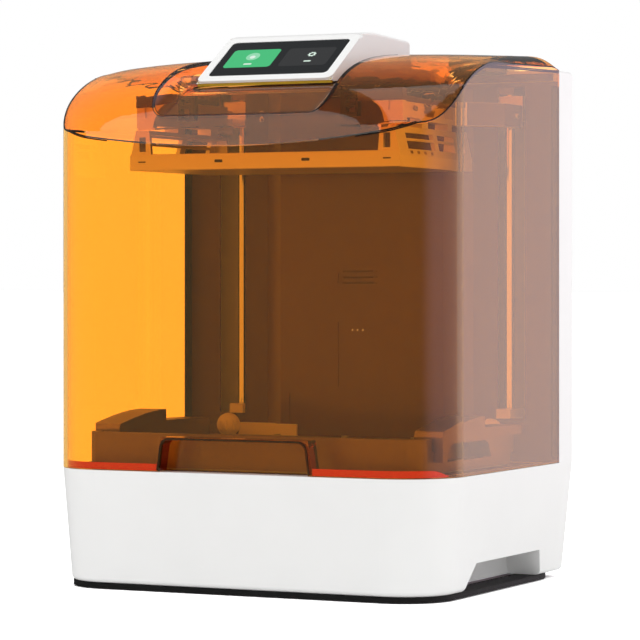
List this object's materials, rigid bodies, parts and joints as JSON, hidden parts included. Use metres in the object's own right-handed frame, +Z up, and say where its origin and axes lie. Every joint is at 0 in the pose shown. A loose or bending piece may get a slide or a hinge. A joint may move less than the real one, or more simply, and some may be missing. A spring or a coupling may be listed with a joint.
{
  "type": "resin printer",
  "caption": "Desktop resin printer with an amber lid that swings up, a build platform on a vertical screw slide above a resin vat, and a tilted display on top.",
  "frame": {"origin": "centre of the machine's outline on the surface that its feet stand on", "axes": "+Z up, +Y to the back, +X to the right seen from the front"},
  "size_m": [0.33, 0.266, 0.4223],
  "materials": {
    "white_plastic": "fine satin",
    "amber_acrylic": "clear, polished",
    "red_acrylic": "clear, polished",
    "black_rubber": "matt",
    "black_plastic": "satin",
    "grey_panel": "satin paint",
    "steel": "ground",
    "polished_steel": "polished",
    "aluminium": "bead blasted",
    "grey_aluminium": "anodised",
    "brass": "machined",
    "glass": "clear",
    "dark_glass": "polished",
    "film": "clear film",
    "board_green": "coated laminate",
    "gold_trim": "metallic",
    "motor_black": "satin paint"
  },
  "bodies": {
    "frame": {"base_housing": "white_plastic", "bottom_plate": "grey_panel", "feet": "black_rubber", "deck_plate": "grey_panel", "exposure_screen": "dark_glass", "screen_frame": "black_plastic", "light_box": "black_plastic", "collimating_lens": "glass", "led_board": "board_green", "heat_sink": "aluminium", "fan_housing": "black_plastic", "main_board": "board_green", "power_supply": "aluminium", "vat_body": "grey_aluminium", "release_film": "film", "film_ring": "steel", "vat_screws": "steel", "vat_studs": "steel", "tower_shell": "white_plastic", "tower_panel": "grey_panel", "column_cover": "grey_panel", "panel_bars": "aluminium", "guide_rods": "polished_steel", "rod_feet": "aluminium", "head_bar": "aluminium", "z_motor": "motor_black", "motor_bracket": "steel", "hinge_ears": "white_plastic", "hinge_pins": "steel", "display_pod": "white_plastic", "display_bezel": "white_plastic", "display_glass": "dark_glass", "display_module": "black_plastic", "display_trim": "gold_trim", "power_inlet": "black_plastic", "switch_frame": "black_plastic", "usb_port": "steel"},
    "lid": {"lid_wall": "amber_acrylic", "lid_seam_strip": "black_rubber", "lid_grip": "amber_acrylic", "lid_rim": "red_acrylic", "lid_roof": "amber_acrylic", "hinge_leaves": "black_plastic"},
    "carriage": {"carriage_beam": "aluminium", "rod_bushings": "brass", "lead_nut": "brass", "platform_arms": "aluminium", "arm_gussets": "aluminium", "arm_clips": "black_plastic", "build_plate": "aluminium", "platform_ends": "aluminium"},
    "screw": {"lead_screw": "steel", "screw_coupling": "aluminium"},
    "lever_right": {"release_lever_right": "black_plastic"},
    "lever_left": {"release_lever_left": "black_plastic"},
    "knob_right": {"vat_knob_right": "aluminium"},
    "knob_left": {"vat_knob_left": "aluminium"},
    "rocker": {"rocker_switch": "black_plastic"},
    "fan": {"fan_rotor": "black_plastic"}
  },
  "joints": [
    {"name": "lid_hinge", "type": "hinge", "parent": "frame", "child": "lid", "pos_m": [0, 0.1084, 0.402], "axis": [-1, 0, 0], "range_deg": [0, 95]},
    {"name": "platform_slide", "type": "slide", "parent": "frame", "child": "carriage", "axis": [0, 0, 1], "range_m": [-0.224, 0]},
    {"name": "screw_turn", "type": "hinge", "parent": "frame", "child": "screw", "pos_m": [0, 0.11, 0.08], "axis": [0, 0, 1], "range_deg": [-5, 20170]},
    {"name": "lever_right_turn", "type": "hinge", "parent": "carriage", "child": "lever_right", "pos_m": [0.104, -0.012, 0.372], "axis": [0, 0, 1], "range_deg": [0, 90]},
    {"name": "lever_left_turn", "type": "hinge", "parent": "carriage", "child": "lever_left", "pos_m": [-0.104, -0.012, 0.372], "axis": [0, 0, -1], "range_deg": [0, 90]},
    {"name": "knob_right_turn", "type": "hinge", "parent": "frame", "child": "knob_right", "pos_m": [0.1145, 0.079, 0.11], "axis": [0, 0, 1], "continuous": true},
    {"name": "knob_left_turn", "type": "hinge", "parent": "frame", "child": "knob_left", "pos_m": [-0.1145, 0.079, 0.11], "axis": [0, 0, 1], "continuous": true},
    {"name": "power_switch", "type": "hinge", "parent": "frame", "child": "rocker", "pos_m": [-0.072, 0.12348, 0.052], "axis": [1, 0, 0], "range_deg": [-20, 0]},
    {"name": "fan_spin", "type": "hinge", "parent": "frame", "child": "fan", "pos_m": [0, -0.01925, 0.02], "axis": [0, 0, 1], "continuous": true}
  ],
  "couplings": [
    {"joint": "screw_turn", "follows": "platform_slide", "rad_per_m": -1570.8}
  ]
}
